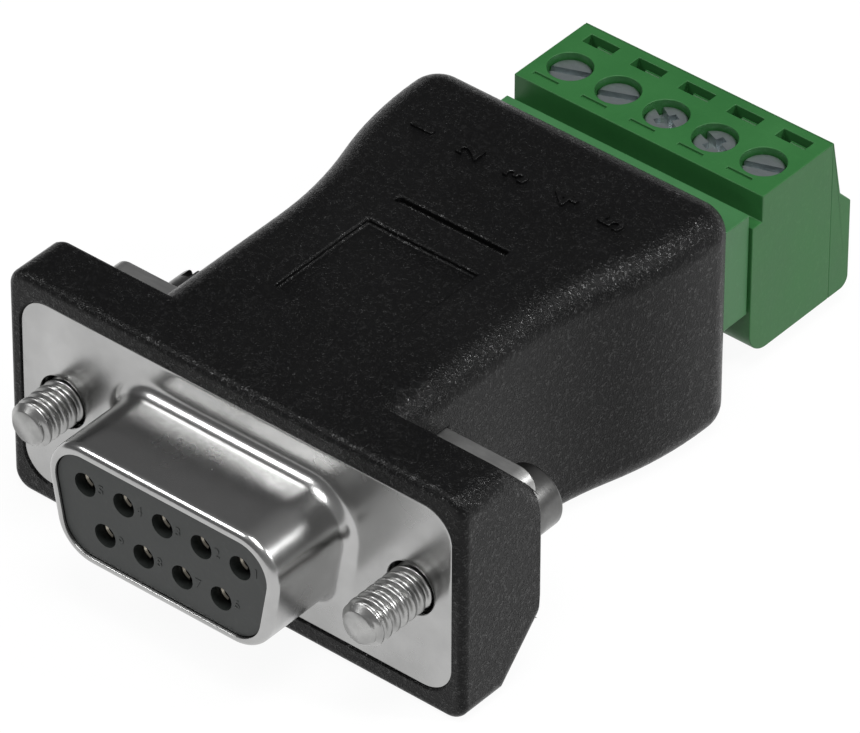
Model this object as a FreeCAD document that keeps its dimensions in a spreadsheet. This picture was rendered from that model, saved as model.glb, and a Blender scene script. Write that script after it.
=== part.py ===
import FreeCAD, Part

import math
import os

import Sketcher

os.makedirs("parts", exist_ok=True)

V = FreeCAD.Vector

# Driving sizes, in millimetres and degrees. Y runs from the nine-way mating face to the wires,
# X along the connector, Z up. The front of the steel flange plate is Y = 0, its middle X = Z = 0.
SIZES = [
    # nine-way socket: steel shells, plastic insulators and contacts
    ("plate_height", 12.55),
    ("plate_corner", 2.0),
    ("plate_thick", 0.5),
    ("screw_hole", 3.3),
    ("screw_gap", 1.205),
    ("plate_margin", 1.26),
    ("shell_width", 16.33),
    ("shell_height", 7.9),
    ("shell_length", 6.1),
    ("shell_corner", 2.6),
    ("shell_lean", 10.0),
    ("shell_wall", 0.6),
    ("shell_lip", 0.5),
    ("shell_root", 0.9),
    ("back_shell_width", 19.28),
    ("back_shell_height", 10.72),
    ("back_shell_wall", 0.4),
    ("back_shell_end", 4.9),
    ("insulator_gap", 0.05),
    ("insulator_set_back", 0.2),
    ("insulator_flange", 1.9),
    ("insulator_back", 3.2),
    ("contact_pitch", 2.77),
    ("row_pitch", 2.84),
    ("contact_hole", 1.5),
    ("contact_tube", 1.4),
    ("contact_bore", 1.02),
    ("contact_bore_depth", 4.6),
    ("contact_slit", 0.22),
    ("contact_set_back", 0.7),
    ("tail_diameter", 1.2),
    ("tail_length", 3.6),
    ("tail_cup", 2.2),
    # circuit board
    ("board_thick", 1.6),
    ("board_gap", 0.3),
    # moulded hood
    ("hood_rim", 0.895),
    ("hood_height", 15.3),
    ("hood_length", 30.2),
    ("hood_proud", 0.08),
    ("wing_top", 3.65),
    ("wing_depth", 6.5),
    ("wing_back_height", 9.2),
    ("wing_corner", 1.2),
    ("wing_edge", 0.5),
    ("waist_width", 17.7),
    ("hood_cheek", 2.3),
    ("flare_start", 13.5),
    ("flare_end", 27.9),
    ("hood_rear_corner", 2.1),
    ("hood_edge", 1.8),
    ("hood_wall", 1.4),
    ("hood_roof", 2.2),
    ("label_side", 7.9),
    ("label_start", 8.1),
    ("label_depth", 0.35),
    ("groove_start", 18.2),
    ("groove_width", 0.5),
    ("groove_depth", 0.5),
    # jackscrews and the plates that hold them
    ("jack_thread", 2.84),
    ("jack_pitch_line", 2.5),
    ("jack_reach", 4.4),
    ("jack_neck", 2.2),
    ("jack_neck_length", 2.6),
    ("jack_head", 4.0),
    ("jack_head_length", 3.15),
    ("jack_tip_chamfer", 0.42),
    ("jack_slot", 0.7),
    ("jack_slot_depth", 0.9),
    ("jack_head_edge", 0.2),
    ("left_pushed_back", 1.4),
    ("retainer_thick", 1.0),
    ("retainer_set_back", 1.25),
    ("retainer_corner", 1.1),
    ("retainer_bite", 1.1),
    ("running_gap", 0.08),
    # pin header in the mouth of the hood
    ("pole_count", 5.0),
    ("pole_pitch", 3.5),
    ("header_side", 1.8),
    ("header_height", 7.0),
    ("header_rise", 0.1),
    ("header_depth", 9.2),
    ("header_end", 33.95),
    ("header_wall", 0.8),
    ("header_floor", 1.8),
    ("header_pin", 1.0),
    ("header_pin_reach", 5.9),
    ("header_pin_solder", 4.2),
    ("key_width", 1.2),
    ("key_height", 0.35),
    # screw terminal plug
    ("plug_side", 2.0),
    ("plug_top", 4.5),
    ("plug_bottom", 6.5),
    ("plug_front_step", 0.85),
    ("plug_ledge", 2.7),
    ("plug_toe", 1.6),
    ("plug_gap", 0.05),
    ("plug_body_depth", 7.25),
    ("nose_length", 6.6),
    ("nose_gap", 0.12),
    ("nose_chamfer", 0.3),
    ("screw_line", 37.45),
    ("screw_well", 2.7),
    ("well_shelf", 0.4),
    ("clamp_head", 2.5),
    ("clamp_head_height", 1.3),
    ("clamp_head_recess", 0.4),
    ("clamp_thread", 2.0),
    ("clamp_slot", 0.5),
    ("clamp_slot_depth", 0.6),
    ("clamp_head_edge", 0.15),
    ("cage_width", 2.8),
    ("cage_depth", 2.9),
    ("cage_nut", 1.3),
    ("cage_base", 0.6),
    ("cage_side", 0.3),
    ("cage_gap", 0.1),
    ("wire_space", 2.05),
    ("wire_throat", 1.9),
    ("wire_funnel", 0.5),
    ("bar_thick", 0.8),
    ("bar_width", 1.5),
    ("bar_drop", 1.2),
    ("bar_overhang", 0.3),
    ("riser_set_back", 0.7),
    ("riser_thick", 0.6),
    ("spring_thick", 0.25),
    ("spring_gap", 0.05),
    ("spring_flare", 0.15),
    ("contact_room", 0.1),
    ("contact_set_in", 0.8),
    ("window_width", 2.1),
    ("window_depth", 0.85),
    ("window_from_back", 0.6),
    ("window_roof", 1.1),
    ("latch_thick", 0.7),
    ("latch_nub", 0.6),
    ("latch_nub_gap", 0.55),
    ("latch_gap", 0.05),
    ("cover_thick", 1.85),
    ("cover_shoulder", 0.85),
    ("cover_brow", 0.1),
    ("cover_shoulder_rise", 0.55),
    ("cover_ledge", 1.05),
    ("cover_heel", 0.7),
]


class Size:
    """A length that carries its value and the formula that gives it from the sheet."""

    def __init__(self, value, formula):
        self.value = float(value)
        self.formula = formula

    def __add__(self, other):
        other = as_size(other)
        return Size(self.value + other.value, f"({self.formula} + {other.formula})")

    def __radd__(self, other):
        return as_size(other) + self

    def __sub__(self, other):
        other = as_size(other)
        return Size(self.value - other.value, f"({self.formula} - {other.formula})")

    def __rsub__(self, other):
        return as_size(other) - self

    def __mul__(self, other):
        other = as_size(other)
        return Size(self.value * other.value, f"({self.formula} * {other.formula})")

    def __rmul__(self, other):
        return as_size(other) * self

    def __truediv__(self, other):
        other = as_size(other)
        return Size(self.value / other.value, f"({self.formula} / {other.formula})")

    def __neg__(self):
        return Size(-self.value, f"(0 - {self.formula})")


def as_size(thing):
    return thing if isinstance(thing, Size) else Size(thing, f"{float(thing):.6f}")


def tangent_of(angle):
    return Size(math.tan(math.radians(angle.value)), f"tan({angle.formula} * 1 deg)")


def cosine_of(angle):
    return Size(math.cos(math.radians(angle.value)), f"cos({angle.formula} * 1 deg)")


doc = FreeCAD.newDocument("SerialToScrewTerminalAdapter")
sheet = doc.addObject("Spreadsheet::Sheet", "Sizes")


def fill_sheet():
    """Writes each driving size into a cell of its own and gives the cell the size's name."""
    named = {}
    for row, (name, value) in enumerate(SIZES, start=1):
        sheet.set(f"A{row}", name)
        sheet.set(f"B{row}", str(value))
        sheet.setAlias(f"B{row}", name)
        named[name] = Size(value, f"Sizes.{name}")
    doc.recompute()
    return named


s = fill_sheet()


# Helpers: sketches whose every corner is tied to the sheet, and the features made from them.
def bind(thing, path, amount):
    thing.setExpression(path, as_size(amount).formula)


def new_body(label):
    body = doc.addObject("PartDesign::Body", label)
    body.Label = label
    return body


def origin_feature(body, role):
    return [part for part in body.Origin.OriginFeatures if part.Role == role][0]


def new_sketch(body, plane, away=0):
    """A sketch on one of the body's planes, moved along +X, +Y or +Z by the amount given."""
    sketch = body.newObject("Sketcher::SketchObject", "Sketch")
    sketch.AttachmentSupport = [(origin_feature(body, plane), "")]
    sketch.MapMode = "FlatFace"
    away = as_size(away)
    bind(sketch, ".AttachmentOffset.Base.z", -away if plane == "XZ_Plane" else away)
    return sketch


def fix_point(sketch, edge, end, x, y):
    """Ties one point of an edge to the distances from the sketch's origin."""
    for kind, amount in (("DistanceX", as_size(x)), ("DistanceY", as_size(y))):
        index = sketch.addConstraint(Sketcher.Constraint(kind, -1, 1, edge, end, amount.value))
        bind(sketch, f"Constraints[{index}]", amount)


def add_outline(sketch, corners, arcs=None):
    """A closed outline through the corners; arcs maps a side's number to its centre (x, y).

    An arc takes the shorter way round, unless a third item says whether it turns clockwise.
    """
    arcs = arcs or {}
    corners = [(as_size(x), as_size(y)) for x, y in corners]
    count = len(corners)
    ends = []
    for side in range(count):
        start, finish = corners[side], corners[(side + 1) % count]
        a = V(start[0].value, start[1].value, 0)
        b = V(finish[0].value, finish[1].value, 0)
        if side not in arcs:
            edge = sketch.addGeometry(Part.LineSegment(a, b))
            ends.append((edge, 1, 2))
            continue
        centre_x, centre_y = (as_size(part) for part in arcs[side][:2])
        centre = V(centre_x.value, centre_y.value, 0)
        from_angle = math.atan2(a.y - centre.y, a.x - centre.x)
        to_angle = math.atan2(b.y - centre.y, b.x - centre.x)
        turn = (to_angle - from_angle) % (2 * math.pi)
        clockwise = arcs[side][2] if len(arcs[side]) > 2 else turn > math.pi
        circle = Part.Circle(centre, V(0, 0, 1), (a - centre).Length)
        if clockwise:
            edge = sketch.addGeometry(Part.ArcOfCircle(circle, to_angle, to_angle - turn + 2 * math.pi))
            ends.append((edge, 2, 1))
        else:
            edge = sketch.addGeometry(Part.ArcOfCircle(circle, from_angle, from_angle + turn))
            ends.append((edge, 1, 2))
        index = sketch.addConstraint(Sketcher.Constraint("DistanceY", -1, 1, edge, 3, centre.y))
        bind(sketch, f"Constraints[{index}]", centre_y)
    for side in range(count):
        edge, first, last = ends[side]
        following = ends[(side + 1) % count]
        sketch.addConstraint(Sketcher.Constraint("Coincident", edge, last, following[0], following[1]))
        fix_point(sketch, edge, first, *corners[side])


def add_rounded(sketch, corners, radius):
    """A closed outline of straight sides, all of its corners rounded to one radius."""
    corners = [(as_size(x), as_size(y)) for x, y in corners]
    radius = as_size(radius)
    count = len(corners)
    points = [V(x.value, y.value, 0) for x, y in corners]
    marks, arcs, sides, cuts = [], [], [], []
    for here in range(count):
        before = (points[here - 1] - points[here]).normalize()
        after = (points[(here + 1) % count] - points[here]).normalize()
        half = before.getAngle(after) / 2
        reach = radius.value / math.tan(half)
        centre = points[here] + (before + after).normalize() * (radius.value / math.sin(half))
        cuts.append((points[here] + before * reach, points[here] + after * reach, centre))
    for here in range(count):
        marks.append(sketch.addGeometry(Part.Point(points[here]), True))
        fix_point(sketch, marks[here], 1, *corners[here])
        into, out, centre = cuts[here]
        first = math.atan2(into.y - centre.y, into.x - centre.x)
        turn = (math.atan2(out.y - centre.y, out.x - centre.x) - first) % (2 * math.pi)
        circle = Part.Circle(centre, V(0, 0, 1), radius.value)
        arcs.append(sketch.addGeometry(Part.ArcOfCircle(circle, first, first + turn)))
    for here in range(count):
        sides.append(sketch.addGeometry(Part.LineSegment(cuts[here][1], cuts[(here + 1) % count][0])))
    for here in range(count):
        following = (here + 1) % count
        sketch.addConstraint(Sketcher.Constraint("Tangent", arcs[here], 2, sides[here], 1))
        sketch.addConstraint(Sketcher.Constraint("Tangent", sides[here], 2, arcs[following], 1))
        sketch.addConstraint(Sketcher.Constraint("PointOnObject", marks[here], 1, sides[here]))
        sketch.addConstraint(Sketcher.Constraint("PointOnObject", marks[following], 1, sides[here]))
        index = sketch.addConstraint(Sketcher.Constraint("Radius", arcs[here], radius.value))
        bind(sketch, f"Constraints[{index}]", radius)


def rectangle(left, low, right, high):
    return [(left, low), (right, low), (right, high), (left, high)]


def add_circle(sketch, x, y, diameter):
    x, y, diameter = as_size(x), as_size(y), as_size(diameter)
    circle = Part.Circle(V(x.value, y.value, 0), V(0, 0, 1), diameter.value / 2)
    edge = sketch.addGeometry(circle)
    fix_point(sketch, edge, 3, x, y)
    index = sketch.addConstraint(Sketcher.Constraint("Diameter", edge, diameter.value))
    bind(sketch, f"Constraints[{index}]", diameter)


def check_cut(body, cut):
    """Stops the build if a cut took nothing away."""
    doc.recompute()
    if cut.Shape.isNull() or cut.Shape.Volume > cut.BaseFeature.Shape.Volume - 1e-6:
        raise RuntimeError(f"{body.Label}: {cut.Name} cut nothing")
    return cut


def pad(body, sketch, length, towards=1, both=False):
    """Adds material; towards is the sign of X, Y or Z that the pad grows along."""
    feature = body.newObject("PartDesign::Pad", "Pad")
    feature.Profile = sketch
    bind(feature, "Length", length)
    on_xz = sketch.AttachmentSupport[0][0].Role == "XZ_Plane"
    feature.Reversed = (towards > 0) == on_xz
    feature.SideType = "Symmetric" if both else "One side"
    doc.recompute()
    return feature


def pocket(body, sketch, depth, towards=1, both=False):
    """Takes material away; towards is the sign of X, Y or Z that the cut goes along."""
    feature = body.newObject("PartDesign::Pocket", "Pocket")
    feature.Profile = sketch
    bind(feature, "Length", depth)
    on_xz = sketch.AttachmentSupport[0][0].Role == "XZ_Plane"
    feature.Reversed = (towards > 0) != on_xz
    feature.SideType = "Symmetric" if both else "One side"
    return check_cut(body, feature)


def revolve(body, sketch):
    """Turns a half profile round the sketch's upright axis."""
    feature = body.newObject("PartDesign::Revolution", "Revolution")
    feature.Profile = sketch
    feature.ReferenceAxis = (sketch, ["V_Axis"])
    feature.Angle = 360
    doc.recompute()
    return feature


def row_of(body, originals, pitch, count):
    """Repeats features along +X at the pitch."""
    feature = body.newObject("PartDesign::LinearPattern", "Row")
    feature.Originals = originals
    feature.Direction = (origin_feature(body, "X_Axis"), [""])
    bind(feature, "Length", as_size(pitch) * (as_size(count) - 1))
    bind(feature, "Occurrences", count)
    body.Tip = feature
    doc.recompute()
    return feature


def dress(body, kind, chosen, size_name, amount):
    """A fillet or chamfer on the edges of the tip that the test chooses."""
    base = body.Tip
    names = [f"Edge{n}" for n, edge in enumerate(base.Shape.Edges, start=1) if chosen(edge)]
    if not names:
        raise RuntimeError(f"{body.Label}: no edge chosen for {kind}")
    feature = body.newObject(f"PartDesign::{kind}", kind)
    feature.Base = (base, names)
    bind(feature, size_name, amount)
    doc.recompute()
    return feature


def fillet(body, chosen, radius):
    return dress(body, "Fillet", chosen, "Radius", radius)


def chamfer(body, chosen, amount):
    return dress(body, "Chamfer", chosen, "Size", amount)


def lies_at(edge, axis, place):
    """True if the whole edge lies in the plane where X, Y or Z equals the place."""
    box = edge.BoundBox
    low, high = {"x": (box.XMin, box.XMax), "y": (box.YMin, box.YMax), "z": (box.ZMin, box.ZMax)}[axis]
    place = as_size(place).value
    return abs(low - place) < 1e-4 and abs(high - place) < 1e-4


def runs_along(edge, axis):
    box = edge.BoundBox
    spans = {"x": box.XLength, "y": box.YLength, "z": box.ZLength}
    return spans[axis] > 1e-3 and all(span < 1e-4 for name, span in spans.items() if name != axis)


def place(body, x=0, y=0, z=0, turned=0, about=V(0, 1, 0)):
    """Sets the piece's own placement: where its axis stands and by how many degrees it is turned."""
    body.Placement = FreeCAD.Placement(V(0, 0, 0), FreeCAD.Rotation(about, turned))
    for name, amount in (("x", x), ("y", y), ("z", z)):
        bind(body, f".Placement.Base.{name}", amount)


def shell_corners(width, height, inset):
    """The four corners of the D outline: wide on top, sides leaning in, moved inwards by inset."""
    lean, slant = tangent_of(s["shell_lean"]), cosine_of(s["shell_lean"])
    corner, inset = s["shell_corner"], as_size(inset)
    half = width / 2 + corner * lean + corner / slant - corner
    top = height / 2 - inset
    upper = half - lean * inset - inset / slant
    lower = half - lean * (height - inset) - inset / slant
    return [(-lower, -top), (lower, -top), (upper, top), (-upper, top)]


# Places that several pieces share.
plates_back = s["plate_thick"] * 2
# From the back shell outwards: screw axes (24.99 apart), plate sides, hood sides, retainer ends.
screw_x = (s["back_shell_width"] + s["screw_hole"]) / 2 + s["screw_gap"]
plate_side = screw_x + s["screw_hole"] / 2 + s["plate_margin"]
hood_side = plate_side + s["hood_rim"]
retainer_side = hood_side - s["retainer_set_back"]
front_insulator_back = s["plate_thick"] + s["insulator_flange"]
rear_insulator_back = front_insulator_back + s["insulator_back"]
wing_back = s["wing_depth"]
retainer_back = wing_back + s["retainer_thick"]
cavity_front = rear_insulator_back + s["insulator_gap"]
header_start = s["header_end"] - s["header_depth"]
header_bottom = s["header_rise"] - s["header_height"] / 2
header_top = s["header_rise"] + s["header_height"] / 2
pin_z = (s["board_thick"] + s["header_pin"]) / 2
last_pole = s["pole_pitch"] * (s["pole_count"] - 1) / 2
first_pole = -last_pole
header_half = last_pole + s["header_side"]
plug_half = last_pole + s["plug_side"]
rear_half = header_half + s["hood_cheek"]
plug_front = s["header_end"] + s["plug_gap"]
plug_back = plug_front + s["plug_body_depth"]
cover_back = plug_back + s["cover_thick"]
nose_front = plug_front - s["nose_length"]
bar_top = -s["bar_drop"]
bar_bottom = bar_top - s["bar_thick"]
head_top = s["plug_top"] - s["clamp_head_recess"]
head_bottom = head_top - s["clamp_head_height"]
shelf_bottom = head_bottom - s["well_shelf"]
window_top = bar_top + s["cage_gap"]
cage_top = window_top + s["cage_nut"]
window_bottom = bar_bottom - s["wire_space"]
cage_bottom = window_bottom - s["cage_base"]
cage_front = s["screw_line"] - s["cage_depth"] / 2
cage_back = s["screw_line"] + s["cage_depth"] / 2
room_front = cage_front - s["cage_gap"]
room_half = s["cage_width"] / 2 + s["cage_gap"]
room_bottom = cage_bottom - s["cage_gap"]
thread_hole = s["clamp_thread"] + s["running_gap"] * 2
bar_back = cage_back + s["bar_overhang"]
riser_front = plug_front + s["riser_set_back"]
riser_back = riser_front + s["riser_thick"]
mouth_front = nose_front + s["contact_set_in"]
leaf_in_top = pin_z + s["header_pin"] / 2 + s["spring_gap"]
leaf_in_low = pin_z - s["header_pin"] / 2 - s["spring_gap"]
leaf_out_top = leaf_in_top + s["spring_thick"]
leaf_out_low = leaf_in_low - s["spring_thick"]
window_back = plug_back - s["window_from_back"]
window_front = window_back - s["window_depth"]
latch_top = s["plug_top"] - s["window_roof"]
latch_bottom = latch_top - s["latch_thick"]


def make_front_shell():
    """Drawn steel shell: flange plate with two screw holes and the D-shaped skirt."""
    body = new_body("front_shell")
    plate = new_sketch(body, "XZ_Plane")
    half_width, half_height = plate_side, s["plate_height"] / 2
    add_rounded(plate, rectangle(-half_width, -half_height, half_width, half_height), s["plate_corner"])
    pad(body, plate, s["plate_thick"])
    skirt = new_sketch(body, "XZ_Plane")
    add_rounded(skirt, shell_corners(s["shell_width"], s["shell_height"], 0), s["shell_corner"])
    pad(body, skirt, s["shell_length"], towards=-1)
    reach = s["shell_width"].value / 2 + 0.1
    on_skirt = lambda edge: lies_at(edge, "y", 0) and edge.BoundBox.XMax < reach and edge.BoundBox.XMin > -reach
    fillet(body, on_skirt, s["shell_root"])
    fillet(body, lambda edge: lies_at(edge, "y", -s["shell_length"]), s["shell_lip"])
    bore = new_sketch(body, "XZ_Plane", s["plate_thick"])
    wall = s["shell_wall"]
    add_rounded(bore, shell_corners(s["shell_width"], s["shell_height"], wall), s["shell_corner"] - wall)
    pocket(body, bore, s["shell_length"] + s["plate_thick"] * 2, towards=-1)
    holes = new_sketch(body, "XZ_Plane")
    for side in (-1, 1):
        add_circle(holes, screw_x * side, 0, s["screw_hole"])
    pocket(body, holes, plates_back)


def make_back_shell():
    """Drawn steel back shell: the same plate with a deeper D-shaped box behind it."""
    body = new_body("back_shell")
    width, height = s["back_shell_width"], s["back_shell_height"]
    half_width, half_height = plate_side, s["plate_height"] / 2
    plate = new_sketch(body, "XZ_Plane", s["plate_thick"])
    add_rounded(plate, rectangle(-half_width, -half_height, half_width, half_height), s["plate_corner"])
    pad(body, plate, s["plate_thick"])
    box = new_sketch(body, "XZ_Plane", s["plate_thick"])
    add_rounded(box, shell_corners(width, height, 0), s["shell_corner"])
    pad(body, box, s["back_shell_end"] - s["plate_thick"])
    bore = new_sketch(body, "XZ_Plane", s["plate_thick"])
    wall = s["back_shell_wall"]
    add_rounded(bore, shell_corners(width, height, wall), s["shell_corner"] - wall)
    pocket(body, bore, s["back_shell_end"])
    holes = new_sketch(body, "XZ_Plane", s["plate_thick"])
    for side in (-1, 1):
        add_circle(holes, screw_x * side, 0, s["screw_hole"])
    pocket(body, holes, plates_back)


def cut_contact_holes(body, start, depth, square=False):
    """Five holes in the upper row and four in the lower, through an insulator."""
    for count, z in ((5, s["row_pitch"] / 2), (4, -s["row_pitch"] / 2)):
        hole = new_sketch(body, "XZ_Plane", start)
        x, half = -s["contact_pitch"] * (count - 1) / 2, s["contact_hole"] / 2
        if square:
            add_outline(hole, rectangle(x - half, z - half, x + half, z + half))
        else:
            add_circle(hole, x, z, s["contact_hole"])
        first = pocket(body, hole, depth)
        row_of(body, [first], s["contact_pitch"], count)


def make_front_insulator():
    """Moulded block: a D-shaped nose that fills the skirt and a wider flange behind the plate."""
    body = new_body("front_insulator")
    gap = s["shell_wall"] + s["insulator_gap"]
    back_gap = s["back_shell_wall"] + s["insulator_gap"]
    corner, back_corner = s["shell_corner"] - gap, s["shell_corner"] - back_gap
    nose_end = s["insulator_set_back"] - s["shell_length"]
    nose = new_sketch(body, "XZ_Plane", s["plate_thick"])
    add_rounded(nose, shell_corners(s["shell_width"], s["shell_height"], gap), corner)
    pad(body, nose, s["plate_thick"] - nose_end, towards=-1)
    flange = new_sketch(body, "XZ_Plane", s["plate_thick"])
    outline = shell_corners(s["back_shell_width"], s["back_shell_height"], back_gap)
    add_rounded(flange, outline, back_corner)
    pad(body, flange, s["insulator_flange"])
    cut_contact_holes(body, nose_end - gap, front_insulator_back - nose_end + gap * 2)


def make_back_insulator():
    """Moulded block that closes the back shell and holds the contacts' tails."""
    body = new_body("back_insulator")
    gap = s["back_shell_wall"] + s["insulator_gap"]
    block = new_sketch(body, "XZ_Plane", front_insulator_back)
    outline = shell_corners(s["back_shell_width"], s["back_shell_height"], gap)
    add_rounded(block, outline, s["shell_corner"] - gap)
    pad(body, block, s["insulator_back"])
    cut_contact_holes(body, front_insulator_back - 1, s["insulator_back"] + 2, square=True)


def make_socket_contact(number, x, upper):
    """Turned contact: slit socket at the front, solder cup at the back, on its own Y axis."""
    body = new_body(f"socket_contact_{number}")
    front = s["insulator_set_back"] + s["contact_set_back"] - s["shell_length"]
    tail_end = rear_insulator_back + s["tail_length"]
    tube, bore, tail = s["contact_tube"] / 2, s["contact_bore"] / 2, s["tail_diameter"] / 2
    profile = new_sketch(body, "XY_Plane")
    bore_end = front + s["contact_bore_depth"]
    mouth = (tube - bore) / 2
    add_outline(profile, [(bore + mouth, front), (tube, front), (tube, rear_insulator_back),
                          (tail, rear_insulator_back), (tail, tail_end), (0, tail_end), (0, bore_end),
                          (bore, bore_end), (bore, front + mouth)])
    revolve(body, profile)
    slit = new_sketch(body, "XZ_Plane", front)
    half_slit = s["contact_slit"] / 2
    add_outline(slit, rectangle(-half_slit, -tube * 2, half_slit, tube * 2))
    pocket(body, slit, s["contact_bore_depth"] * 0.8)
    cup = new_sketch(body, "XZ_Plane", tail_end - s["tail_cup"])
    add_outline(cup, rectangle(-tube * 2, tail * 0.1, tube * 2, tube * 2))
    pocket(body, cup, s["tail_cup"] * 2)
    place(body, x=x, z=s["row_pitch"] / (2 if upper else -2), turned=0 if upper else 180)


def make_circuit_board():
    """Board between the two rows of tails; its sides follow the cavity of the hood."""
    body = new_body("circuit_board")
    front = rear_insulator_back + s["board_gap"]
    waist = s["waist_width"] / 2 - s["hood_wall"] - s["board_gap"]
    rear = header_half - s["board_gap"]
    outline = new_sketch(body, "XY_Plane")
    add_outline(outline, [(-waist, front), (waist, front), (waist, s["flare_start"]), (rear, header_start),
                          (-rear, header_start), (-waist, s["flare_start"])])
    pad(body, outline, s["board_thick"], both=True)


def make_hood():
    """Moulded hood: flared body, chamfered wings, and the room inside for all it carries."""
    body = new_body("hood")
    half_high = s["hood_height"] / 2
    waist, rear = s["waist_width"] / 2, rear_half
    length, start, end = s["hood_length"], s["flare_start"], s["flare_end"]
    rise, run = rear - waist, end - start
    flare_radius = (run * run + rise * rise) / (rise * 4)
    middle, turn = (waist + rear) / 2, (start + end) / 2
    plan = new_sketch(body, "XY_Plane")
    front = s["wing_top"] / 2
    corner = s["hood_rear_corner"]
    right = [(waist, front), (waist, start), (middle, turn), (rear, end),
             (rear, length - corner), (rear - corner, length)]
    left = [(-x, y) for x, y in reversed(right)]
    arcs = {1: (waist + flare_radius, start), 2: (rear - flare_radius, end), 4: (rear - corner, length - corner),
            6: (corner - rear, length - corner), 8: (flare_radius - rear, end), 9: (-waist - flare_radius, start)}
    add_outline(plan, right + left, arcs)
    pad(body, plan, s["hood_height"], both=True)
    on_rim = lambda edge: not lies_at(edge, "y", front) and (
        lies_at(edge, "z", half_high) or lies_at(edge, "z", -half_high))
    fillet(body, on_rim, s["hood_edge"])

    wings = new_sketch(body, "YZ_Plane")
    back_high = s["wing_back_height"] / 2
    side = [(-s["hood_proud"], half_high), (s["wing_top"], half_high), (wing_back, back_high)]
    add_outline(wings, side + [(y, -z) for y, z in reversed(side)])
    pad(body, wings, hood_side * 2, both=True)
    at_corner = lambda edge: edge.BoundBox.YLength > 1e-3 and (
        lies_at(edge, "x", hood_side) or lies_at(edge, "x", -hood_side))
    fillet(body, at_corner, s["wing_corner"])
    fillet(body, lambda edge: lies_at(edge, "y", -s["hood_proud"]), s["wing_edge"])

    half_width, half_height = plate_side, s["plate_height"] / 2
    seat = new_sketch(body, "XZ_Plane", -s["hood_proud"])
    add_rounded(seat, rectangle(-half_width, -half_height, half_width, half_height), s["plate_corner"])
    pocket(body, seat, plates_back + s["hood_proud"])
    box_seat = new_sketch(body, "XZ_Plane", plates_back)
    outline = shell_corners(s["back_shell_width"], s["back_shell_height"], 0)
    add_rounded(box_seat, outline, s["shell_corner"])
    pocket(body, box_seat, cavity_front - plates_back)

    cavity = new_sketch(body, "XY_Plane")
    inner_waist, inner_rear = waist - s["hood_wall"], header_half
    add_outline(cavity, [(-inner_waist, cavity_front), (inner_waist, cavity_front), (inner_waist, start),
                         (inner_rear, header_start), (-inner_rear, header_start), (-inner_waist, start)])
    pocket(body, cavity, s["hood_height"] - s["hood_roof"] * 2, both=True)
    mouth = new_sketch(body, "XZ_Plane", header_start)
    add_outline(mouth, rectangle(-inner_rear, header_bottom, inner_rear, header_top))
    pocket(body, mouth, length)

    for sign in (-1, 1):
        bore = new_sketch(body, "XZ_Plane", plates_back)
        add_circle(bore, screw_x * sign, 0, s["screw_hole"])
        pocket(body, bore, wing_back)
        slot = new_sketch(body, "XZ_Plane", wing_back)
        bite = waist - s["retainer_bite"]
        edges = sorted((bite * sign, retainer_side * sign), key=lambda part: part.value)
        add_outline(slot, rectangle(edges[0], -back_high, edges[1], back_high))
        pocket(body, slot, s["retainer_thick"])

    label = new_sketch(body, "XY_Plane", half_high)
    half_label = s["label_side"] / 2
    add_outline(label, rectangle(-half_label, s["label_start"], half_label, s["label_start"] + s["label_side"]))
    pocket(body, label, s["label_depth"], towards=-1)
    groove = new_sketch(body, "XY_Plane", half_high)
    groove_end = s["groove_start"] + s["groove_width"]
    add_outline(groove, rectangle(-half_label, s["groove_start"], half_label, groove_end))
    pocket(body, groove, s["groove_depth"], towards=-1)


def make_retainer(label, sign):
    """Steel plate behind a wing, slotted from below to slip over the jackscrew's neck."""
    body = new_body(label)
    half_high = s["wing_back_height"] / 2
    inner = s["waist_width"] / 2 - s["retainer_bite"]
    outer, corner = retainer_side, s["retainer_corner"]
    slot = s["jack_neck"] / 2 + s["running_gap"]
    right = [(inner, -half_high), (screw_x - slot, -half_high), (screw_x - slot, 0), (screw_x + slot, 0),
             (screw_x + slot, -half_high), (outer - corner, -half_high), (outer, corner - half_high),
             (outer, half_high - corner), (outer - corner, half_high), (inner, half_high)]
    arcs = {2: (screw_x, 0, True), 5: (outer - corner, corner - half_high),
            7: (outer - corner, half_high - corner)}
    if sign < 0:
        count = len(right)
        right = [(-x, y) for x, y in reversed(right)]
        arcs = {count - 2 - side: (-arc[0], *arc[1:]) for side, arc in arcs.items()}
    face = new_sketch(body, "XZ_Plane", wing_back)
    add_outline(face, right, arcs)
    pad(body, face, s["retainer_thick"])


def make_jackscrew(label, sign, pushed_back, turned):
    """Jackscrew on its own Y axis: threaded end, thin neck, slotted head; Y = 0 behind the plate.

    The thread has its full width in front of the flange and its pitch line's width inside the hood.
    """
    body = new_body(label)
    thread, neck, head = s["jack_thread"] / 2, s["jack_neck"] / 2, s["jack_head"] / 2
    tip, pitch_line = -retainer_back - s["jack_reach"], s["jack_pitch_line"] / 2
    flange = -retainer_back - pushed_back
    cut = s["jack_tip_chamfer"]
    neck_start, end = -s["jack_neck_length"], s["jack_head_length"]
    edge = s["jack_head_edge"]
    profile = new_sketch(body, "XY_Plane")
    add_outline(profile, [(0, tip), (thread - cut, tip), (thread, tip + cut), (thread, flange),
                          (pitch_line, flange), (pitch_line, neck_start), (neck, neck_start), (neck, 0),
                          (head, 0), (head, end - edge), (head - edge, end), (0, end)])
    revolve(body, profile)
    slot = new_sketch(body, "XZ_Plane", end - s["jack_slot_depth"])
    half_slot = s["jack_slot"] / 2
    add_outline(slot, rectangle(-head * 2, -half_slot, head * 2, half_slot))
    pocket(body, slot, s["jack_slot_depth"] * 2)
    place(body, x=screw_x * sign, y=retainer_back + pushed_back, turned=turned)


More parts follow.
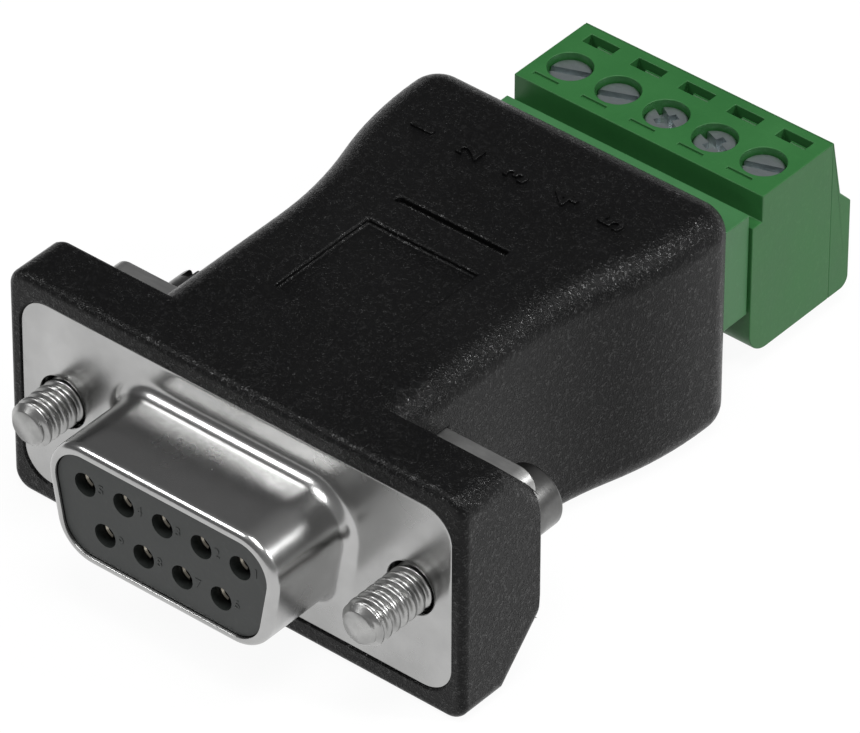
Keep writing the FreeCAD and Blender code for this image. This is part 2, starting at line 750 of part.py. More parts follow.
def make_terminal_header():
    """Open-ended shroud in the hood's mouth, keyed along its roof, with a pin hole for each pole."""
    body = new_body("terminal_header")
    half_wide, wall = header_half, s["header_wall"]
    shroud = new_sketch(body, "XZ_Plane", header_start)
    add_outline(shroud, rectangle(-half_wide, header_bottom, half_wide, header_top))
    pad(body, shroud, s["header_depth"])
    inside = new_sketch(body, "XZ_Plane", header_start + s["header_floor"])
    add_outline(inside, rectangle(wall - half_wide, header_bottom + wall, half_wide - wall, header_top - wall))
    pocket(body, inside, s["header_depth"])
    hole = new_sketch(body, "XZ_Plane", header_start)
    half_pin = s["header_pin"] / 2
    add_outline(hole, rectangle(first_pole - half_pin, pin_z - half_pin, first_pole + half_pin, pin_z + half_pin))
    hole_cut = pocket(body, hole, s["header_floor"] * 2)
    key = new_sketch(body, "XZ_Plane", header_start + s["header_floor"])
    half_key, key_base = s["key_width"] / 2, header_top - wall
    add_outline(key, rectangle(first_pole - half_key, key_base - wall, first_pole + half_key,
                               key_base + s["key_height"]))
    key_cut = pocket(body, key, s["header_depth"])
    row_of(body, [hole_cut, key_cut], s["pole_pitch"], s["pole_count"])


def pole_x(pole):
    return first_pole + s["pole_pitch"] * pole


def make_header_pin(pole):
    """Square pin: lies on the board, passes the header's floor and stands in the shroud."""
    body = new_body(f"header_pin_{pole + 1}")
    half = s["header_pin"] / 2
    start = header_start - s["header_pin_solder"]
    end = header_start + s["header_floor"] + s["header_pin_reach"]
    section = new_sketch(body, "XZ_Plane", start)
    add_outline(section, rectangle(-half, -half, half, half))
    pad(body, section, end - start)
    chamfer(body, lambda edge: lies_at(edge, "y", end), half / 2)
    place(body, x=pole_x(pole), z=pin_z)


def make_terminal_plug():
    """Plug housing: nose, main block, and for each pole a screw well, a cage room and a latch window."""
    body = new_body("terminal_plug")
    half_wide, toe = plug_half, s["plug_toe"]
    upper_front = plug_front + s["plug_front_step"]
    side = new_sketch(body, "YZ_Plane")
    add_outline(side, [(plug_front, toe - s["plug_bottom"]), (plug_front + toe, -s["plug_bottom"]),
                       (plug_back, -s["plug_bottom"]), (plug_back, s["plug_top"]), (upper_front, s["plug_top"]),
                       (upper_front, s["plug_ledge"]), (plug_front, s["plug_ledge"])],
                {0: (plug_front + toe, toe - s["plug_bottom"])})
    pad(body, side, plug_half * 2, both=True)
    nose = new_sketch(body, "XZ_Plane", plug_front)
    inset = s["header_wall"] + s["nose_gap"]
    nose_half, nose_low, nose_high = header_half - inset, header_bottom + inset, header_top - inset
    add_outline(nose, rectangle(-nose_half, nose_low, nose_half, nose_high))
    pad(body, nose, s["nose_length"], towards=-1)
    chamfer(body, lambda edge: lies_at(edge, "y", nose_front), s["nose_chamfer"])

    def cut_box(plane, away, corners, depth, towards=1):
        sketch = new_sketch(body, plane, away)
        add_outline(sketch, corners)
        return pocket(body, sketch, depth, towards)

    rib = new_sketch(body, "XZ_Plane", plug_front)
    half_rib = s["key_width"] / 2 - s["nose_gap"]
    rib_top = header_top - s["header_wall"] + s["key_height"] - s["nose_gap"]
    add_outline(rib, rectangle(first_pole - half_rib, nose_high - s["key_height"], first_pole + half_rib, rib_top))
    made = [pad(body, rib, s["nose_length"] - s["nose_chamfer"] * 2, towards=-1)]

    pin_room = s["header_pin"] / 2 + s["contact_room"]
    made.append(cut_box("XZ_Plane", nose_front, rectangle(first_pole - pin_room, pin_z - pin_room,
                                                          first_pole + pin_room, pin_z + pin_room),
                        s["nose_length"] / 2))
    room = s["contact_room"]
    spring_top, spring_low = leaf_out_top + s["spring_flare"] + room, leaf_out_low - s["spring_flare"] - room
    contact = new_sketch(body, "YZ_Plane", first_pole)
    add_outline(contact, [(mouth_front - room, spring_low), (riser_front - room, spring_low),
                          (riser_front - room, bar_bottom - room), (cage_front, bar_bottom - room),
                          (cage_front, bar_top + room), (riser_back + room, bar_top + room),
                          (riser_back + room, spring_top), (mouth_front - room, spring_top)])
    made.append(pocket(body, contact, s["bar_width"] + room * 2, both=True))
    made.append(cut_box("XZ_Plane", room_front, rectangle(first_pole - room_half, room_bottom,
                                                          first_pole + room_half, shelf_bottom),
                        s["plug_body_depth"]))
    well = new_sketch(body, "XY_Plane", s["plug_top"])
    add_circle(well, first_pole, s["screw_line"], s["screw_well"])
    made.append(pocket(body, well, s["plug_top"] - head_bottom, towards=-1))
    shelf = new_sketch(body, "XY_Plane", head_bottom)
    add_circle(shelf, first_pole, s["screw_line"], thread_hole)
    made.append(pocket(body, shelf, s["well_shelf"] * 2, towards=-1))
    half_window = s["window_width"] / 2
    made.append(cut_box("XY_Plane", s["plug_top"], rectangle(first_pole - half_window, window_front,
                                                             first_pole + half_window, window_back),
                        s["window_roof"] + s["latch_thick"] / 2, towards=-1))
    made.append(cut_box("XZ_Plane", window_front, rectangle(first_pole - half_window, latch_bottom,
                                                            first_pole + half_window, latch_top),
                        s["plug_body_depth"]))
    row_of(body, made, s["pole_pitch"], s["pole_count"])


def make_terminal_cover():
    """Back cover of the plug: slanted brow, wire funnels, bosses behind the cages and snap latches."""
    body = new_body("terminal_cover")
    brow, shoulder = plug_back + s["cover_brow"], plug_back + s["cover_shoulder"]
    shoulder_z, heel = s["cover_shoulder_rise"], s["cover_heel"]
    side = new_sketch(body, "YZ_Plane")
    add_outline(side, [(plug_back, -s["plug_bottom"]), (cover_back - heel, -s["plug_bottom"]),
                       (cover_back, heel - s["plug_bottom"]), (cover_back, shoulder_z - s["cover_ledge"]),
                       (shoulder, shoulder_z), (brow, s["plug_top"]), (plug_back, s["plug_top"])],
                {1: (cover_back - heel, heel - s["plug_bottom"])})
    pad(body, side, plug_half * 2, both=True)

    boss_half = room_half - s["latch_gap"]
    boss_length = plug_back - bar_back - s["cage_gap"] * 2
    boss = new_sketch(body, "XZ_Plane", plug_back)
    add_outline(boss, rectangle(first_pole - boss_half, room_bottom + s["latch_gap"], first_pole + boss_half,
                                bar_top))
    made = [pad(body, boss, boss_length, towards=-1)]
    half_latch = s["window_width"] / 2 - s["latch_gap"]
    latch_end = window_front + s["latch_gap"]
    latch = new_sketch(body, "XZ_Plane", plug_back)
    add_outline(latch, rectangle(first_pole - half_latch, latch_bottom + s["latch_gap"],
                                 first_pole + half_latch, latch_top - s["latch_gap"]))
    made.append(pad(body, latch, plug_back - latch_end, towards=-1))
    nub = new_sketch(body, "YZ_Plane", first_pole + s["latch_nub_gap"] / 2)
    nub_back = window_back - s["latch_gap"] * 3
    add_outline(nub, [(latch_end, latch_bottom + s["latch_thick"] / 2), (nub_back, latch_bottom + s["latch_thick"] / 2),
                      (nub_back, latch_top + s["latch_nub"]), (latch_end + s["latch_nub"], latch_top + s["latch_nub"]),
                      (latch_end, latch_top)])
    made.append(pad(body, nub, half_latch * 2 - s["latch_nub_gap"], both=True))

    wire_z = (bar_bottom + window_bottom) / 2
    throat_wide, throat_high = s["wire_throat"] / 2, s["wire_space"] / 2 - s["cage_gap"]
    throat = new_sketch(body, "XZ_Plane", plug_back - boss_length)
    add_outline(throat, rectangle(first_pole - throat_wide, wire_z - throat_high, first_pole + throat_wide,
                                  wire_z + throat_high))
    made.append(pocket(body, throat, boss_length + s["cover_thick"]))
    row_of(body, made, s["pole_pitch"], s["pole_count"])
    at_mouth = lambda edge: lies_at(edge, "y", cover_back) and edge.Length < s["pole_pitch"].value
    chamfer(body, at_mouth, s["wire_funnel"])


def make_plug_contact(pole):
    """Stamped contact: two leaves that grip the pin, a riser, and the bar that the wire is pressed on."""
    body = new_body(f"plug_contact_{pole + 1}")
    leaf_start = mouth_front + s["spring_flare"] * 3
    flare = s["spring_flare"]
    strip = new_sketch(body, "YZ_Plane")
    add_outline(strip, [(mouth_front, leaf_out_top + flare), (leaf_start, leaf_out_top), (riser_back, leaf_out_top),
                        (riser_back, bar_top), (bar_back, bar_top), (bar_back, bar_bottom),
                        (riser_front, bar_bottom), (riser_front, leaf_out_low), (leaf_start, leaf_out_low),
                        (mouth_front, leaf_out_low - flare), (mouth_front, leaf_in_low - flare),
                        (leaf_start, leaf_in_low), (riser_front, leaf_in_low), (riser_front, leaf_in_top),
                        (leaf_start, leaf_in_top), (mouth_front, leaf_in_top + flare)])
    pad(body, strip, s["bar_width"], both=True)
    place(body, x=pole_x(pole))


def make_clamp_cage(pole):
    """Rising cage: a nut on top and a window through which the bar and the wire pass."""
    body = new_body(f"clamp_cage_{pole + 1}")
    half_wide, half_deep = s["cage_width"] / 2, s["cage_depth"] / 2
    block = new_sketch(body, "XZ_Plane", -half_deep)
    add_outline(block, rectangle(-half_wide, cage_bottom, half_wide, cage_top))
    pad(body, block, s["cage_depth"])
    window = new_sketch(body, "XZ_Plane", -half_deep)
    inner = half_wide - s["cage_side"]
    add_outline(window, rectangle(-inner, window_bottom, inner, window_top))
    pocket(body, window, s["cage_depth"])
    thread = new_sketch(body, "XY_Plane", cage_top)
    add_circle(thread, 0, 0, thread_hole)
    pocket(body, thread, s["cage_nut"], towards=-1)
    place(body, x=pole_x(pole), y=s["screw_line"])


def make_clamp_screw(pole, crossed, turned):
    """Slotted cheese-head screw on its own Z axis; two of the five have a cross slot."""
    body = new_body(f"clamp_screw_{pole + 1}")
    head, thread = s["clamp_head"] / 2, s["clamp_thread"] / 2
    edge = s["clamp_head_edge"]
    tip = bar_top + s["cage_gap"] / 2
    profile = new_sketch(body, "XZ_Plane")
    add_outline(profile, [(0, tip), (thread - edge, tip), (thread, tip + edge), (thread, head_bottom),
                          (head, head_bottom), (head, head_top - edge), (head - edge, head_top), (0, head_top)])
    revolve(body, profile)
    half_slot = s["clamp_slot"] / 2
    slot = new_sketch(body, "XY_Plane", head_top)
    add_outline(slot, rectangle(-head * 2, -half_slot, head * 2, half_slot))
    pocket(body, slot, s["clamp_slot_depth"], towards=-1)
    if crossed:
        cross = new_sketch(body, "XY_Plane", head_top)
        reach = head * 0.55
        add_outline(cross, rectangle(-half_slot, -reach, half_slot, reach))
        pocket(body, cross, s["clamp_slot_depth"], towards=-1)
    place(body, x=pole_x(pole), y=s["screw_line"], turned=turned, about=V(0, 0, 1))


# How far each clamp screw stands turned, in degrees, from the first pole to the last.
screw_turns = [22, 23, -31, -20, 20]


def make_everything():
    make_front_shell()
    make_back_shell()
    make_front_insulator()
    make_back_insulator()
    for place_in_row in range(5):
        make_socket_contact(5 - place_in_row, s["contact_pitch"] * (place_in_row - 2), upper=True)
    for place_in_row in range(4):
        make_socket_contact(9 - place_in_row, s["contact_pitch"] * (place_in_row - 1.5), upper=False)
    make_circuit_board()
    make_hood()
    make_retainer("retainer_left", -1)
    make_retainer("retainer_right", 1)
    make_jackscrew("jackscrew_left", -1, s["left_pushed_back"], turned=68)
    make_jackscrew("jackscrew_right", 1, 0, turned=44)
    make_terminal_header()
    make_terminal_plug()
    make_terminal_cover()
    for pole in range(round(s["pole_count"].value)):
        make_header_pin(pole)
        make_plug_contact(pole)
        make_clamp_cage(pole)
        make_clamp_screw(pole, crossed=pole in (2, 3), turned=screw_turns[pole % len(screw_turns)])


def export_all():
    """Writes one file for each piece, once nothing in the document has failed."""
    doc.recompute()
    for thing in doc.Objects:
        if "Invalid" in thing.State or "Error" in thing.State:
            raise RuntimeError(f"{thing.Label} has failed: {thing.State}")
    bodies = [thing for thing in doc.Objects if thing.TypeId == "PartDesign::Body"]
    for body in bodies:
        shape = body.Shape
        if shape.isNull() or not shape.isValid() or len(shape.Solids) != 1:
            raise RuntimeError(f"{body.Label} is not one valid solid")
    for body in bodies:
        body.Shape.exportStep(f"parts/{body.Label}.step")
    print(f"{len(bodies)} pieces written")


make_everything()
export_all()
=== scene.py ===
import math

import bmesh
import bpy
import numpy as np
from mathutils import Matrix, Vector


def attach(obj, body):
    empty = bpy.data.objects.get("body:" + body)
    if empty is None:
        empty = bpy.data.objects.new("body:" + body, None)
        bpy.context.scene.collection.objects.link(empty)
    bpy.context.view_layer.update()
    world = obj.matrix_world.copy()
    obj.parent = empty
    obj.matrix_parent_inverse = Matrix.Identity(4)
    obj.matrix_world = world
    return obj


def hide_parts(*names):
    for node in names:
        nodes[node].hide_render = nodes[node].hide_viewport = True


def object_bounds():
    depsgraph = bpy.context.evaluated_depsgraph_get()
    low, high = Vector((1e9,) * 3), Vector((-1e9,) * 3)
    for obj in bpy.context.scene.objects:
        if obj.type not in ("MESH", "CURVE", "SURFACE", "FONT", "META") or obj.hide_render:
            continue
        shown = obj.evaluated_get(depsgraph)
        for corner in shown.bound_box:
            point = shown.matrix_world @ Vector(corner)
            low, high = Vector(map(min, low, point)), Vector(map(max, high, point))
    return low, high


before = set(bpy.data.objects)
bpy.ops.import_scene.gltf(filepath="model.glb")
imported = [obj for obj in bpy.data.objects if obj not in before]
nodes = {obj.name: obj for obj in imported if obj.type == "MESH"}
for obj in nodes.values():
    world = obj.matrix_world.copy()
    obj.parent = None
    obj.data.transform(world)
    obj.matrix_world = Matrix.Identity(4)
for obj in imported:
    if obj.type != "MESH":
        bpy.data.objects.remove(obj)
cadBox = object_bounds()
mm = 0.001
print("frame loaded:", len(nodes), "CAD pieces")


# ---- helpers

def addObject(name, data):
    thing = bpy.data.objects.new(name, data)
    bpy.context.scene.collection.objects.link(thing)
    return thing


def bakedMesh(thing):
    # a mesh of its own from what the modifiers or the lettering make
    bpy.context.view_layer.update()
    return bpy.data.meshes.new_from_object(thing.evaluated_get(bpy.context.evaluated_depsgraph_get()))


def newMaterial(name):
    material = bpy.data.materials.new(name)
    material.use_nodes = True
    tree = material.node_tree
    tree.nodes.clear()
    return material, tree


def addNode(tree, kind, **settings):
    node = tree.nodes.new(kind)
    for setting, value in settings.items():
        setattr(node, setting, value)
    return node


def feed(tree, socket, value):
    # a plain number is set on the socket, an output is linked to it
    if isinstance(value, (int, float)):
        socket.default_value = value
    else:
        tree.links.new(value, socket)


def mathOf(tree, operation, first, second, clamp=False):
    node = addNode(tree, "ShaderNodeMath", operation=operation, use_clamp=clamp)
    feed(tree, node.inputs[0], first)
    feed(tree, node.inputs[1], second)
    return node.outputs[0]


def spreadOf(tree, value, fromLow, fromHigh, low, high):
    node = addNode(tree, "ShaderNodeMapRange")
    for label, number in (("From Min", fromLow), ("From Max", fromHigh), ("To Min", low), ("To Max", high)):
        node.inputs[label].default_value = number
    tree.links.new(value, node.inputs["Value"])
    return node.outputs[0]


# ---- camera, floor and lamps

cameraSet = {
    "turn": 39.738, "rise": 38.136, "roll": 0.203,  # degrees, where the photograph was taken from
    "away": 508.847, "right": 10.66, "up": 6.943,  # mm
    "lens": 391.68, "sensor": 36, "near": 10, "far": 20000,  # mm
}


def placeCamera(look):
    turn, rise, roll = (math.radians(look[part]) for part in ("turn", "rise", "roll"))
    back = Vector((math.sin(turn) * math.cos(rise), -math.cos(turn) * math.cos(rise), math.sin(rise)))
    level = Vector((math.cos(turn), math.sin(turn), 0))
    upright = back.cross(level)
    right = level * math.cos(roll) + upright * math.sin(roll)
    up = upright * math.cos(roll) - level * math.sin(roll)
    where = (right * look["right"] + up * look["up"] + back * look["away"]) * mm
    camera = addObject("camera", bpy.data.cameras.new("camera"))
    turned = Matrix((right, up, back)).transposed().to_4x4()
    camera.matrix_world = Matrix.Translation(where) @ turned
    camera.data.lens = look["lens"]
    camera.data.sensor_width = look["sensor"]
    camera.data.clip_start, camera.data.clip_end = look["near"] * mm, look["far"] * mm
    bpy.context.scene.camera = camera


floorSet = {"size": 6.0, "colour": (0.86, 0.86, 0.86, 1), "whiteShare": 0.94}  # size in m


def makeFloor(settings):
    half = settings["size"] / 2
    level = cadBox[0].z
    mesh = bpy.data.meshes.new("floor")
    corners = [(-half, -half, level), (half, -half, level), (half, half, level), (-half, half, level)]
    mesh.from_pydata(corners, [], [(0, 1, 2, 3)])
    floor = addObject("floor", mesh)
    material, tree = newMaterial("whitePaper")
    paper = addNode(tree, "ShaderNodeBsdfDiffuse")
    paper.inputs["Color"].default_value = settings["colour"]
    white = addNode(tree, "ShaderNodeEmission")
    rays = addNode(tree, "ShaderNodeLightPath").outputs
    mix = addNode(tree, "ShaderNodeMixShader")
    out = addNode(tree, "ShaderNodeOutputMaterial")
    seen = mathOf(tree, "MAXIMUM", rays["Is Camera Ray"], rays["Is Glossy Ray"])
    seen = mathOf(tree, "MAXIMUM", seen, rays["Is Transmission Ray"])
    link = tree.links.new
    link(mathOf(tree, "MULTIPLY", seen, settings["whiteShare"]), mix.inputs[0])
    link(paper.outputs[0], mix.inputs[1])
    link(white.outputs[0], mix.inputs[2])
    link(mix.outputs[0], out.inputs["Surface"])
    mesh.materials.append(material)


# places and sizes in m, powers in W
lampAim = (0, 0.015, 0)
lampSet = {
    "overhead": {"at": (0.11, -0.05, 0.50), "size": (0.26, 0.26), "power": 2.3},
    "rightBack": {"at": (0.40, 0.22, 0.34), "size": (0.08, 0.08), "power": 1.5},
    "leftFront": {"at": (-0.27, -0.24, 0.42), "size": (0.15, 0.15), "power": 1.0},
}


def placeLamps(lamps):
    for name, lamp in lamps.items():
        light = bpy.data.lights.new(name, "AREA")
        light.shape = "RECTANGLE"
        light.size, light.size_y = lamp["size"]
        light.energy = lamp["power"]
        holder = addObject(name, light)
        where = Vector(lamp["at"])
        holder.location = where
        holder.rotation_euler = (Vector(lampAim) - where).to_track_quat("-Z", "Y").to_euler()


worldSet = {"low": (0.125, 0.125, 0.127, 1), "lowAt": 0.10, "high": (0.30, 0.30, 0.30, 1), "highAt": 0.85,
            "reach": 0.9}


def makeWorld(look):
    # a grey room that gets lighter towards +X
    world = bpy.data.worlds.new("studio")
    bpy.context.scene.world = world
    world.use_nodes = True
    tree = world.node_tree
    tree.nodes.clear()
    direction = addNode(tree, "ShaderNodeTexCoord")
    split = addNode(tree, "ShaderNodeSeparateXYZ")
    ramp = addNode(tree, "ShaderNodeValToRGB")
    for stop, end in zip(ramp.color_ramp.elements, ("low", "high")):
        stop.position, stop.color = look[f"{end}At"], look[end]
    sky = addNode(tree, "ShaderNodeBackground")
    out = addNode(tree, "ShaderNodeOutputWorld")
    link = tree.links.new
    link(direction.outputs["Generated"], split.inputs[0])
    link(spreadOf(tree, split.outputs["X"], -look["reach"], look["reach"], 0, 1), ramp.inputs[0])
    link(ramp.outputs[0], sky.inputs["Color"])
    link(sky.outputs[0], out.inputs["Surface"])


placeCamera(cameraSet)
makeFloor(floorSet)
placeLamps(lampSet)
makeWorld(worldSet)
bpy.context.scene.view_settings.view_transform = "Standard"
print("camera, floor and lamps placed")


# ---- effects that several materials share

def newGroup(name, takes, gives):
    # a group takes a place and some numbers, and gives numbers
    group = bpy.data.node_groups.new(name, "ShaderNodeTree")
    group.interface.new_socket("Where", in_out="INPUT", socket_type="NodeSocketVector")
    for label in takes:
        group.interface.new_socket(label, in_out="INPUT", socket_type="NodeSocketFloat")
    for label in gives:
        group.interface.new_socket(label, in_out="OUTPUT", socket_type="NodeSocketFloat")
    given = addNode(group, "NodeGroupInput").outputs
    return group, given, addNode(group, "NodeGroupOutput").inputs


def noiseOf(tree, where, scale, detail, roughness):
    noise = addNode(tree, "ShaderNodeTexNoise")
    for label, value in (("Detail", detail), ("Roughness", roughness), ("Vector", where), ("Scale", scale)):
        feed(tree, noise.inputs[label], value)
    return noise.outputs["Fac"]


grainSet = {"coarser": 0.37, "fineShare": 0.6, "coarseShare": 0.4, "topsFrom": 0.53, "topsFull": 0.66}


def makeSparkGrain(look):
    # spark-eroded tool skin: fine pits over coarser ones, and the few tops that catch the light
    group, given, out = newGroup("sparkGrain", ["Scale"], ["Height", "Tops"])
    fine = noiseOf(group, given["Where"], given["Scale"], detail=3.0, roughness=0.6)
    slower = mathOf(group, "MULTIPLY", given["Scale"], look["coarser"])
    coarse = noiseOf(group, given["Where"], slower, detail=2.0, roughness=0.5)
    height = mathOf(group, "ADD", mathOf(group, "MULTIPLY", fine, look["fineShare"]),
                    mathOf(group, "MULTIPLY", coarse, look["coarseShare"]))
    group.links.new(height, out["Height"])
    group.links.new(spreadOf(group, height, look["topsFrom"], look["topsFull"], 0, 1), out["Tops"])
    return group


cloudSet = {"clear": 0.3, "full": 0.7}


def makeClouds(look):
    # slow variation over a whole face, from moulding flow, plating or handling
    group, given, out = newGroup("clouds", ["Scale"], ["Cloud", "Wave"])
    cloud = noiseOf(group, given["Where"], given["Scale"], detail=4.0, roughness=0.55)
    wave = noiseOf(group, given["Where"], given["Scale"], detail=0.0, roughness=0.5)
    group.links.new(spreadOf(group, cloud, look["clear"], look["full"], 0, 1), out["Cloud"])
    group.links.new(wave, out["Wave"])
    return group


def makeDrawLines():
    # thin lines left by rolling, drawing or turning, long one way and close together the other
    group, given, out = newGroup("drawLines", ["Along", "Across"], ["Lines"])
    stretch = addNode(group, "ShaderNodeCombineXYZ")
    for socket, label in zip(stretch.inputs, ("Along", "Across", "Across")):
        group.links.new(given[label], socket)
    scaled = addNode(group, "ShaderNodeVectorMath", operation="MULTIPLY")
    group.links.new(given["Where"], scaled.inputs[0])
    group.links.new(stretch.outputs[0], scaled.inputs[1])
    lines = noiseOf(group, scaled.outputs[0], 1.0, detail=2.0, roughness=0.6)
    group.links.new(lines, out["Lines"])
    return group


sparkGrain, clouds, drawLines = makeSparkGrain(grainSet), makeClouds(cloudSet), makeDrawLines()


def useGroup(tree, group, where, **values):
    node = addNode(tree, "ShaderNodeGroup", node_tree=group)
    tree.links.new(where, node.inputs["Where"])
    for label, value in values.items():
        node.inputs[label].default_value = value
    return node.outputs


def mixOf(tree, share, first, second):
    node = addNode(tree, "ShaderNodeMix", data_type="RGBA")
    tree.links.new(share, node.inputs["Factor"])
    for socket, colour in zip([s for s in node.inputs if s.type == "RGBA"], (first, second)):
        socket.default_value = (*colour, 1)
    return [s for s in node.outputs if s.type == "RGBA"][0]


def bumpOf(tree, height, distance, onto=None):
    node = addNode(tree, "ShaderNodeBump")
    node.inputs["Strength"].default_value = 1.0
    node.inputs["Distance"].default_value = distance
    tree.links.new(height, node.inputs["Height"])
    if onto is not None:
        tree.links.new(onto, node.inputs["Normal"])
    return node.outputs["Normal"]


def startMaterial(name, metallic=0.0, specular=0.5, coat=0.0):
    material, tree = newMaterial(name)
    shader = addNode(tree, "ShaderNodeBsdfPrincipled")
    shader.inputs["Metallic"].default_value = metallic
    shader.inputs["Specular IOR Level"].default_value = specular
    shader.inputs["Coat Weight"].default_value = coat
    out = addNode(tree, "ShaderNodeOutputMaterial")
    tree.links.new(shader.outputs[0], out.inputs["Surface"])
    where = addNode(tree, "ShaderNodeTexCoord").outputs["Object"]
    return material, tree, shader, where


# ---- finishes

mouldedSet = {"cloudShare": 0.6, "sideFacing": 0.15, "topFacing": 0.55}


def moulded(name, look):
    # tool-textured plastic: two close shades, grain in the surface, gloss that drifts from place to place
    material, tree, shader, where = startMaterial(name, specular=look["specular"])
    grain = useGroup(tree, sparkGrain, where, Scale=look["grainScale"])
    drift = useGroup(tree, clouds, where, Scale=look["driftScale"])
    link = tree.links.new
    shade = mathOf(tree, "ADD", mathOf(tree, "MULTIPLY", drift["Cloud"], mouldedSet["cloudShare"]),
                   mathOf(tree, "MULTIPLY", grain["Tops"], look["topsShare"]), clamp=True)
    link(mixOf(tree, shade, look["dark"], look["light"]), shader.inputs["Base Color"])
    rough = spreadOf(tree, drift["Cloud"], 0, 1, look["roughLow"], look["roughHigh"])
    polish = mathOf(tree, "MULTIPLY", grain["Tops"], look["topsGloss"])
    link(mathOf(tree, "ADD", rough, polish, clamp=True), shader.inputs["Roughness"])
    if "topsShine" in look:
        # the sides, drawn along the mould, are smoother than the top and its edges
        facing = addNode(tree, "ShaderNodeSeparateXYZ")
        link(where.node.outputs["Normal"], facing.inputs[0])
        upward = spreadOf(tree, facing.outputs["Z"], mouldedSet["sideFacing"], mouldedSet["topFacing"],
                          look["sideTops"], 1)
        bright = mathOf(tree, "MULTIPLY", grain["Tops"], upward)
        shine = spreadOf(tree, bright, 0, 1, look["specular"], look["topsShine"])
        link(shine, shader.inputs["Specular IOR Level"])
    flow = bumpOf(tree, drift["Wave"], look["waveDepth"])
    link(bumpOf(tree, grain["Height"], look["grainDepth"], flow), shader.inputs["Normal"])
    return material


def plated(name, look):
    # plated sheet or turned metal: slow waves, fine lines one way, a soft haze in the plating
    material, tree, shader, where = startMaterial(name, metallic=1.0)
    haze = useGroup(tree, clouds, where, Scale=look["hazeScale"])
    lines = useGroup(tree, drawLines, where, Along=look["along"], Across=look["across"])
    grain = useGroup(tree, sparkGrain, where, Scale=look["grainScale"])
    link = tree.links.new
    colour = mixOf(tree, haze["Cloud"], look["dark"], look["light"])
    if "paintedHeadShade" in look:
        # painted shade: the base colour darkens from the thread's end into the head, so the screws' heads at the
        # back come out darker than their threads
        place = addNode(tree, "ShaderNodeSeparateXYZ")
        link(where, place.inputs[0])
        shaded = addNode(tree, "ShaderNodeVectorMath", operation="SCALE")
        link(colour, shaded.inputs[0])
        shade = spreadOf(tree, place.outputs["Y"], look["threadEnd"] * mm, look["headStart"] * mm, 1,
                         look["paintedHeadShade"])
        link(shade, shaded.inputs["Scale"])
        colour = shaded.outputs[0]
    link(colour, shader.inputs["Base Color"])
    rough = spreadOf(tree, haze["Cloud"], 0, 1, look["roughHigh"], look["roughLow"])
    worn = mathOf(tree, "MULTIPLY", lines["Lines"], look["lineDull"])
    link(mathOf(tree, "ADD", rough, worn, clamp=True), shader.inputs["Roughness"])
    waves = bumpOf(tree, haze["Wave"], look["waveDepth"])
    drawn = bumpOf(tree, lines["Lines"], look["lineDepth"], waves)
    link(bumpOf(tree, grain["Height"], look["grainDepth"], drawn), shader.inputs["Normal"])
    return material


def laminate(name, look):
    # glass board under green lacquer, its threads running one way
    material, tree, shader, where = startMaterial(name, coat=look["coat"])
    weave = useGroup(tree, drawLines, where, Along=look["along"], Across=look["across"])
    drift = useGroup(tree, clouds, where, Scale=look["driftScale"])
    link = tree.links.new
    link(mixOf(tree, weave["Lines"], look["dark"], look["light"]), shader.inputs["Base Color"])
    link(spreadOf(tree, drift["Cloud"], 0, 1, look["roughLow"], look["roughHigh"]), shader.inputs["Roughness"])
    link(bumpOf(tree, weave["Lines"], look["depth"]), shader.inputs["Normal"])
    return material


